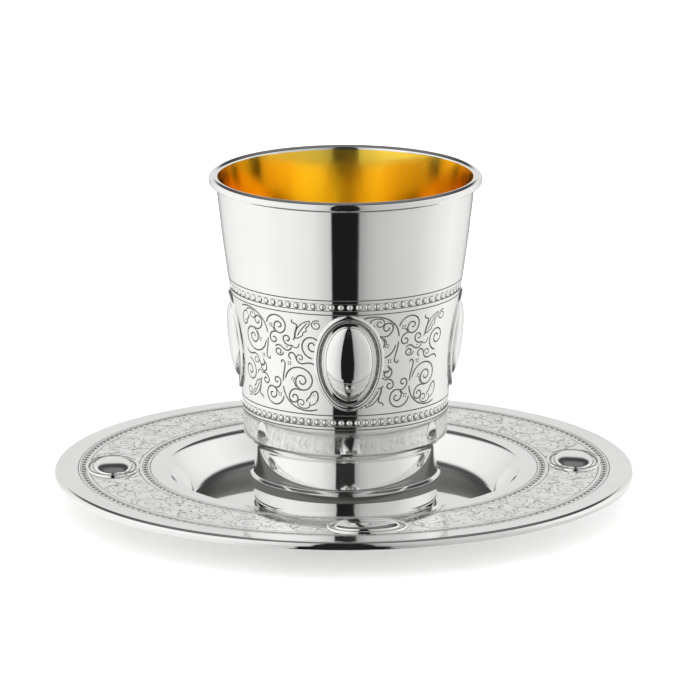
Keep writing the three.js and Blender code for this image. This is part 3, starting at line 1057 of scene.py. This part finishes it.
def dome_colour(nodes, links, socket):
    split = place_split(nodes, links)
    share = turn_share(nodes, links, split)
    lean = nodes.new("ShaderNodeMath")
    lean.operation = "MULTIPLY_ADD"
    lean.inputs[1].default_value = TOP_LEAN
    links.new(split.outputs["Y"], lean.inputs[0])
    links.new(split.outputs["Z"], lean.inputs[2])
    low = stop_ramp(nodes, links, share, LOW_STOPS)
    dark, with_dark = blended(nodes, links, lean.outputs[0], TOP_EDGE, low)
    links.new(stop_ramp(nodes, links, share, TOP_STOPS), dark)
    zenith, with_zenith = blended(nodes, links, lean.outputs[0], ZENITH_EDGE, with_dark)
    zenith.default_value = grey(ZENITH_BRIGHTNESS / STUDIO_POWER)
    links.new(with_zenith, socket)


def card_colour(nodes, links, socket):
    share = turn_share(nodes, links, place_split(nodes, links))
    links.new(stop_ramp(nodes, links, share, CARD_STOPS), socket)


def surface_of_turning(rings):
    """Points and faces of rings (radius, height) joined one to the next."""
    turns = np.linspace(0, 2 * math.pi, RING_STEPS, endpoint=False)
    points = [(r * math.sin(t), -r * math.cos(t), z) for r, z in rings for t in turns]
    faces = []
    for ring in range(len(rings) - 1):
        for i in range(RING_STEPS):
            after = (i + 1) % RING_STEPS
            low, high = ring * RING_STEPS, (ring + 1) * RING_STEPS
            faces.append((low + i, low + after, high + after, high + i))
    return points, faces


dome_tilts = np.linspace(0, math.pi / 2 - DOME_OPENING, DOME_RINGS)
dome_rings = [(DOME_RADIUS * math.cos(tilt), DOME_RADIUS * math.sin(tilt)) for tilt in dome_tilts]
only_in_reflections(card("dome", *surface_of_turning(dome_rings), emitter("dome_light", dome_colour)))
card_rings = [(CARD_INNER, CARD_LIFT), (DOME_RADIUS, CARD_LIFT)]
only_in_reflections(card("floor_card", *surface_of_turning(card_rings), emitter("card_light", card_colour)))

# The floor's own light: an even sky, much stronger near the horizon, so that light reaches under the lip
SKY_POWER = 1
HORIZON_POWER = 11
HORIZON_EDGE = (0.2, 0.3)
world = bpy.data.worlds.new("studio")
world.use_nodes = True
sky = world.node_tree
sky_shader = sky.nodes["Background"]
sky_shader.inputs["Strength"].default_value = HORIZON_POWER
sky_way = sky.nodes.new("ShaderNodeTexCoord")
sky_split = sky.nodes.new("ShaderNodeSeparateXYZ")
sky.links.new(sky_way.outputs["Generated"], sky_split.inputs["Vector"])
sky_above = grey(SKY_POWER / HORIZON_POWER)
sky_ramp = ramp(sky.nodes, sky.links, sky_split.outputs["Z"], *HORIZON_EDGE, grey(1), sky_above)
sky.links.new(sky_ramp, sky_shader.inputs["Color"])
bpy.context.scene.world = world
bpy.context.scene.view_settings.view_transform = "Standard"

# The camera stands well back with a long lens, as the photograph's did.
CAMERA_DISTANCE = 2
CAMERA_ELEVATION = math.radians(14.03)
CAMERA_AIM = Vector((0.00155, 0, 0.03935))
FOCAL_PIXELS = 8000
PHOTO_WIDTH = 700
SENSOR_WIDTH = 36
CAMERA_NEAR = 0.05
camera_data = bpy.data.cameras.new("camera")
camera_data.sensor_width = SENSOR_WIDTH
camera_data.lens = FOCAL_PIXELS / PHOTO_WIDTH * SENSOR_WIDTH
camera_data.clip_start = CAMERA_NEAR
camera = bpy.data.objects.new("camera", camera_data)
bpy.context.collection.objects.link(camera)
away = Vector((0, -math.cos(CAMERA_ELEVATION), math.sin(CAMERA_ELEVATION)))
camera_turn = away.to_track_quat("Z", "Y").to_matrix().to_4x4()
camera.matrix_world = Matrix.Translation(CAMERA_AIM + away * CAMERA_DISTANCE) @ camera_turn
bpy.context.scene.camera = camera
